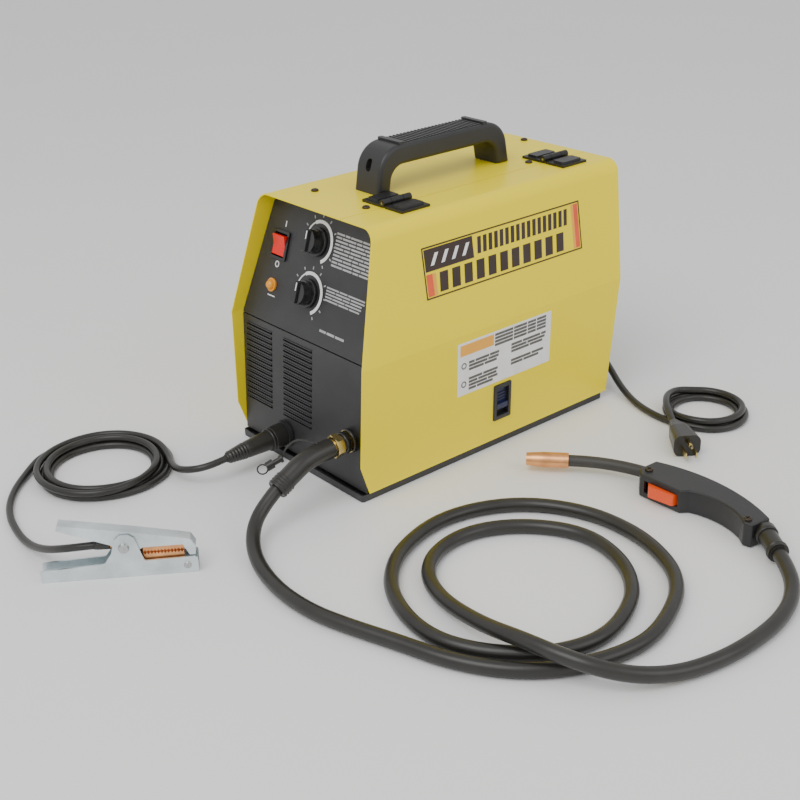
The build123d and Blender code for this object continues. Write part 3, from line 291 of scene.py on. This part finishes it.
def ribs(first, last, count, inner, outer, fall=0.0):
    """A ribbed sleeve's profile: its radius falls by fall on the way, and it closes on itself."""
    profile = [(first, inner), (first, outer)]
    pitch = (last - first) / count
    for rib in range(count):
        low = outer - fall * (rib + 0.5) / count
        place = first + rib * pitch
        profile += [(place + 0.15 * pitch, low + 0.9), (place + 0.5 * pitch, low + 0.9),
                    (place + 0.65 * pitch, low), (place + 0.95 * pitch, low)]
    return profile + [(last, outer - fall), (last, inner - fall)]


def prints(name, outlines, plane, look, body, low=0.02, high=0.22):
    """Flat shapes raised on a plane, (origin, right, up, out): outlines in millimetres."""
    origin, right, up, out = plane
    mesh = bmesh.new()
    for outline in outlines:
        layers = []
        for rise in (low, high):
            layers.append([mesh.verts.new((origin + right * a + up * b + out * rise) * MM)
                           for a, b in outline])
        mesh.faces.new(layers[0])
        mesh.faces.new(layers[1])
        for here in range(len(outline)):
            after = (here + 1) % len(outline)
            mesh.faces.new((layers[0][here], layers[0][after], layers[1][after], layers[1][here]))
    return finish_piece(name, mesh, look, body)


def block(left, low, right, high, slant=0.0):
    """A rectangle, leaning sideways by slant at its top."""
    return [(left, low), (right, low), (right + slant, high), (left + slant, high)]


def border(left, low, right, high, wide):
    """Four thin strips round a rectangle."""
    return [block(left, low, right, low + wide), block(left, high - wide, right, high),
            block(left, low + wide, left + wide, high - wide),
            block(right - wide, low + wide, right, high - wide)]


def sector(middle, inner, outer, first, last, steps=18):
    """Short blocks that together make a ring sector, measured clockwise from straight up."""
    pieces = []
    for step in range(steps):
        one = radians(first + (last - first) * step / steps)
        two = radians(first + (last - first) * (step + 1) / steps)
        pieces.append([(middle[0] + radius * sin(angle), middle[1] + radius * cos(angle))
                       for radius, angle in ((inner, one), (outer, one), (outer, two),
                                             (inner, two))])
    return pieces


def dash_rows(left, right, top, pitch, lengths, tall, gap=2.0):
    """Rows of dashes that stand in for small print."""
    pieces = []
    for row, words in enumerate(lengths):
        high = top - row * pitch
        place = left
        for word in words:
            end = min(right, place + word)
            if end - place > 0.5:
                pieces.append(block(place, high - tall, end, high))
            place = end + gap
    return pieces


# ---------------------------------------------------------------- planes of the case
crease_half, crease_height = 128.0, 166.0
base_half, cover_bottom = 123.0, 10.0
top_half, case_height = 106.0, 314.0
upper_up = Vector((top_half - crease_half, 0, case_height - crease_height)).normalized()
lower_up = Vector((crease_half - base_half, 0, crease_height - cover_bottom)).normalized()
side_right = Vector((0, 1, 0))
upper_facet = (Vector((crease_half, 0, crease_height)), side_right, upper_up,
               side_right.cross(upper_up))
lower_facet = (Vector((base_half, 0, cover_bottom)), side_right, lower_up,
               side_right.cross(lower_up))
panel_foot, panel_head = Vector((0, -194.5, 162.0)), Vector((0, -149.0, 300.0))
panel_up = (panel_head - panel_foot).normalized()
panel_right = Vector((1, 0, 0))
control_plane = (panel_foot, panel_right, panel_up, panel_right.cross(panel_up))
vent_up = (panel_foot - Vector((0, -207.0, 0.0))).normalized()
vent_plane = (panel_foot, panel_right, vent_up, panel_right.cross(vent_up))
clamp_angle = radians(55.2)
clamp_ahead = Vector((cos(clamp_angle), sin(clamp_angle), 0))
clamp_tail = Vector((19, -563, 9))


# ---------------------------------------------------------------- prints on the door
def banner():
    """A framed band of plain bars where the machine's own graphics would be."""
    left, right, low, high = -107, 149, 54.5, 114.5
    middle = 85.0
    prints("banner_frame", border(left, low, right, high, 1.7), upper_facet, "dark_print",
           "side_door", high=0.3)
    prints("banner_block", [block(left + 3, middle + 1, -30, high - 3)], upper_facet,
           "dark_print", "side_door")
    prints("banner_ends", [block(left + 3, low + 3, left + 12, middle - 2),
                           block(right - 10, low + 3, right - 3, high - 3)], upper_facet,
           "ember_print", "side_door")
    prints("banner_glow", [block(left + 12.4, low + 3, left + 17, middle - 2),
                           block(right - 14.4, low + 3, right - 10.4, high - 3)], upper_facet,
           "orange_print", "side_door")
    small = [block(place, middle + 4, place + 5.6, high - 6, 2) for place in range(-24, 128, 9)]
    large = [block(place, low + 5, place + 12.5, middle - 3, 2) for place in range(-86, 122, 19)]
    prints("banner_bars", small + large, upper_facet, "dark_print", "side_door")
    strokes = [block(-96 + 16 * step, middle + 7, -91 + 16 * step, high - 9, 8)
               for step in range(4)]
    prints("banner_strokes", strokes, upper_facet, "white_print", "side_door",
           low=0.1, high=0.4)


def rating_label():
    """A white label with plain bars in place of its words."""
    low, high = 78.5, 146.5
    prints("label_plate", [block(-68, low, 88, high)], lower_facet, "white_print",
           "side_door", high=0.2)
    prints("label_head", [block(-64, high - 17, -10, high - 3)], lower_facet, "orange_print",
           "side_door", low=0.15, high=0.35)
    bars = dash_rows(-8, 85, high - 3, 4.4, [(30, 22, 14, 16)] * 4, 3.2, 1.6)
    bars += dash_rows(-50, 2, high - 26, 4.4, [(9, 22, 15), (30, 17), (24, 20)], 3.2, 1.6)
    bars += dash_rows(20, 84, high - 24, 4.4, [(18, 30, 8), (26, 30), (30, 22)], 3.2, 1.6)
    bars += dash_rows(-50, 2, high - 47, 4.4, [(22, 24), (14, 30), (30, 16), (12, 26)], 3.2, 1.6)
    bars += dash_rows(20, 84, high - 45, 4.4, [(34, 20), (20, 26)], 3.2, 1.6)
    prints("label_bars", bars, lower_facet, "label_grey", "side_door",
           low=0.15, high=0.35)
    signs = sector((-58, high - 30), 2.6, 4.2, 0, 360) + sector((-58, high - 54), 2.6, 4.2, 0, 360)
    prints("label_signs", signs, lower_facet, "label_grey", "side_door",
           low=0.15, high=0.35)


banner()
rating_label()


# ---------------------------------------------------------------- prints on the front
knob_x, knob_rows = -8.5, (54.0, 115.0)


def dials():
    """A thick arc and short marks round each knob, and a line on the knob itself."""
    arcs, marks = [], []
    for row in knob_rows:
        arcs += sector((knob_x, row), 21.5, 25.5, -30, 155, 30)
        arcs += sector((knob_x, row), 22.8, 24.6, -75, -30, 8)
        for angle in range(-120, 151, 30):
            marks += sector((knob_x, row), 28.5, 32, angle - 1.6, angle + 1.6, 1)
    prints("dial_arcs", arcs, control_plane, "white_print", "welder")
    prints("dial_marks", marks, control_plane, "grey_print", "welder")
    for body, row in (("upper_knob", knob_rows[1]), ("lower_knob", knob_rows[0])):
        prints(f"{body}_line", [block(knob_x - 0.7, row + 2, knob_x + 0.7, row + 11.6)],
               control_plane, "white_print", body, low=20.1, high=20.45)


def panel_words():
    """Plain rows and signs in place of the panel's small print."""
    signs = [block(-75, 118.5, -73.4, 125.5)] + sector((-77, 72.5), 2.6, 4.0, 0, 360)
    signs += [block(-84, 33, -70, 34.4)]
    prints("panel_signs", signs, control_plane, "white_print", "welder")
    table = [(14, 8, 20, 12, 10), (10, 24, 9, 22), (22, 12, 14, 16), (8, 18, 26, 14),
             (16, 10, 18, 20), (26, 8, 16, 14), (12, 20, 10, 22), (18, 14, 24, 8),
             (10, 26, 12, 18), (20, 16, 10, 16)]
    rows = dash_rows(21, 93, 133, 4.1, table, 2.2, 1.6)
    rows += dash_rows(22, 96, 70, 3.6, [(22, 14, 30), (16, 26, 24), (30, 12, 20), (12, 22, 28),
                                        (24, 18, 18)], 1.9, 1.6)
    rows += dash_rows(24, 70, 20, 4, [(12, 14, 16)], 2.8, 1.6)
    prints("panel_rows", rows, control_plane, "grey_print", "welder")


dials()
panel_words()


# ---------------------------------------------------------------- turned and moulded details
def cord_fittings():
    """Ribs on the boots, a nut and a collar on the torch socket, and the mains strain relief."""
    lathe("ground_boot_ribs", ribs(56, 80, 6, 5, 9.6, 3.0), plug_start, plug_way,
          "black_rubber", "welder")
    lathe("ground_boot_collar", [(17, 12), (17, 14), (21, 14.2), (21, 12)], plug_start,
          plug_way, "black_rubber", "welder")
    socket = (93, -203.5, 69)
    forward = (0, -1, 0)
    lathe("socket_nut", [(17.6, 9), (17.6, 13.2), (18.6, 14.4), (26.4, 14.4), (27.4, 13.2),
                         (27.4, 9)], socket, forward, "brass", "welder", sides=6)
    lathe("socket_ring", [(8, 9), (8, 12.2), (9, 13), (14, 13), (15, 12.2), (15, 9)], socket,
          forward, "knob_plastic", "welder")
    lathe("socket_collar", [(0.5, 9), (0.5, 14), (1.2, 14.6), (5.4, 14.6), (6, 14), (6, 9)],
          socket, forward, "knob_plastic", "welder", sides=36)
    boot_end = Vector((95, -311, 46))
    boot_way = Vector((2, -43, -21)).normalized()
    lathe("torch_boot_rim", ribs(-15, 0.5, 4, 11, 11.9), boot_end, boot_way, "black_rubber",
          "welder")
    sleeve_start = Vector((519, 20, 14.5))
    sleeve_way = Vector((-26, 17.3, 2)).normalized()
    lathe("torch_sleeve_rim", ribs(4, 9, 2, 9.5, 10.9), sleeve_start, sleeve_way,
          "black_rubber", "welder")
    mouth = [(32, 9.6), (32, 11.6), (33, 12.2), (42, 12.2), (42.5, 10.4), (52, 10.4), (52, 9.6)]
    lathe("torch_mouth_collar", mouth, sleeve_start, sleeve_way, "black_rubber", "welder")
    lathe("mains_relief", ribs(0, 24, 7, 5, 7.2, 1.8), (5, 205, 46), (0, 26, -1),
          "black_rubber", "welder")


def plug_blades():
    """Brass blades and an earth pin over the plug's nose."""
    tip, before = Vector(mains_tail_route[-1]), Vector(mains_tail_route[-2])
    way = (tip - before).normalized()
    level = Vector((way.x, way.y, 0)).normalized()
    start = tip + way * 27
    base = Vector((start.x, start.y, 14.6)) + level * 37
    across = Vector((level.y, -level.x, 0))
    plane = (base, across, Vector((0, 0, -1)), level)
    blades = [block(-7.4, 0.1, -5.4, 6.9), block(5.4, 0.1, 7.4, 6.9)]
    prints("plug_blades", blades, plane, "brass", "welder", low=0, high=19.2)
    lathe("plug_pin", [(0, 1), (0, 2.6), (16, 2.6), (19.3, 1.4), (19.3, 1)],
          base + Vector((0, 0, 7)), level, "brass", "welder", sides=20)


def clamp_rivet():
    """The second rivet near the clamp's nose."""
    out = Vector((clamp_ahead.y, -clamp_ahead.x, 0))
    place = clamp_tail + clamp_ahead * 153
    lathe("clamp_rivet", [(-0.6, 0.3), (-0.6, 4), (0.6, 4), (1.4, 3), (1.8, 1.4), (1.9, 0.3)],
          place, out, "steel", "welder", sides=24)


def lug_boot():
    """The shrunk sleeve over the ground cable's lug, where it enters the clamp."""
    profile = [(-6, 3.6), (-6, 4.9), (-2, 5.4), (10, 5.4), (11, 5.2), (11, 4.9), (0, 4.9)]
    lathe("lug_boot", profile, ground_tail_route[-1], clamp_ahead, "black_rubber", "welder")


def louvres():
    """A near-black sheet of painted shade behind the front louvres, and a lip along the top of
    every slot, drawn in a lighter black as a painted highlight.
    """
    # A near-black sheet of painted shade, a few millimetres behind the slots.
    prints("louvre_painted_shade_screen", [block(-121, -116, 18, -6)], vent_plane, "louvre_painted_shade", "welder",
           low=-7, high=-5)
    lips = []
    rows, pitch, first = 15, 6.9, -11.5
    for row in range(rows):
        top = first - pitch * row
        for middle, length in ((-91.5, 55.0), (-13.0, 58.0)):
            half = length / 2 - 1.5
            lips.append(block(middle - half, top + 1.5, middle + half, top + 2.5))
    # The lips are drawn in a lighter black, a painted highlight along the slot edges.
    prints("louvre_lips", lips, vent_plane, "louvre_lip_painted_highlight", "welder", high=1.1)


cord_fittings()
plug_blades()
clamp_rivet()
lug_boot()
louvres()


# ---------------------------------------------------------------- floor and light
def studio():
    """A pale floor under a bright, soft sky with one large key light and a fill."""
    bpy.ops.mesh.primitive_plane_add(size=14, location=(0, 0, -0.0002))
    floor = bpy.context.object
    floor.name = "floor"
    pale = material("pale_floor", (0.88, 0.88, 0.88), 0.75, mottle=0.01, patch=2, bump=0.0)
    floor.data.materials.append(pale)
    sky = bpy.data.worlds.new("sky")
    sky.use_nodes = True
    sky.node_tree.nodes["Background"].inputs["Color"].default_value = (1, 1, 1, 1)
    sky.node_tree.nodes["Background"].inputs["Strength"].default_value = 0.85
    bpy.context.scene.world = sky
    lamps = (("key", (0.6, -1.6, 2.2), 1.6, 30), ("fill", (2.2, 0.6, 1.6), 1.4, 9))
    for name, place, size, power in lamps:
        lamp = bpy.data.lights.new(name, "AREA")
        lamp.size = size
        lamp.energy = power
        holder = bpy.data.objects.new(name, lamp)
        holder.location = place
        aim = Vector((0, 0, 0.15)) - Vector(place)
        holder.rotation_euler = aim.to_track_quat("-Z", "Y").to_euler()
        bpy.context.collection.objects.link(holder)


studio()
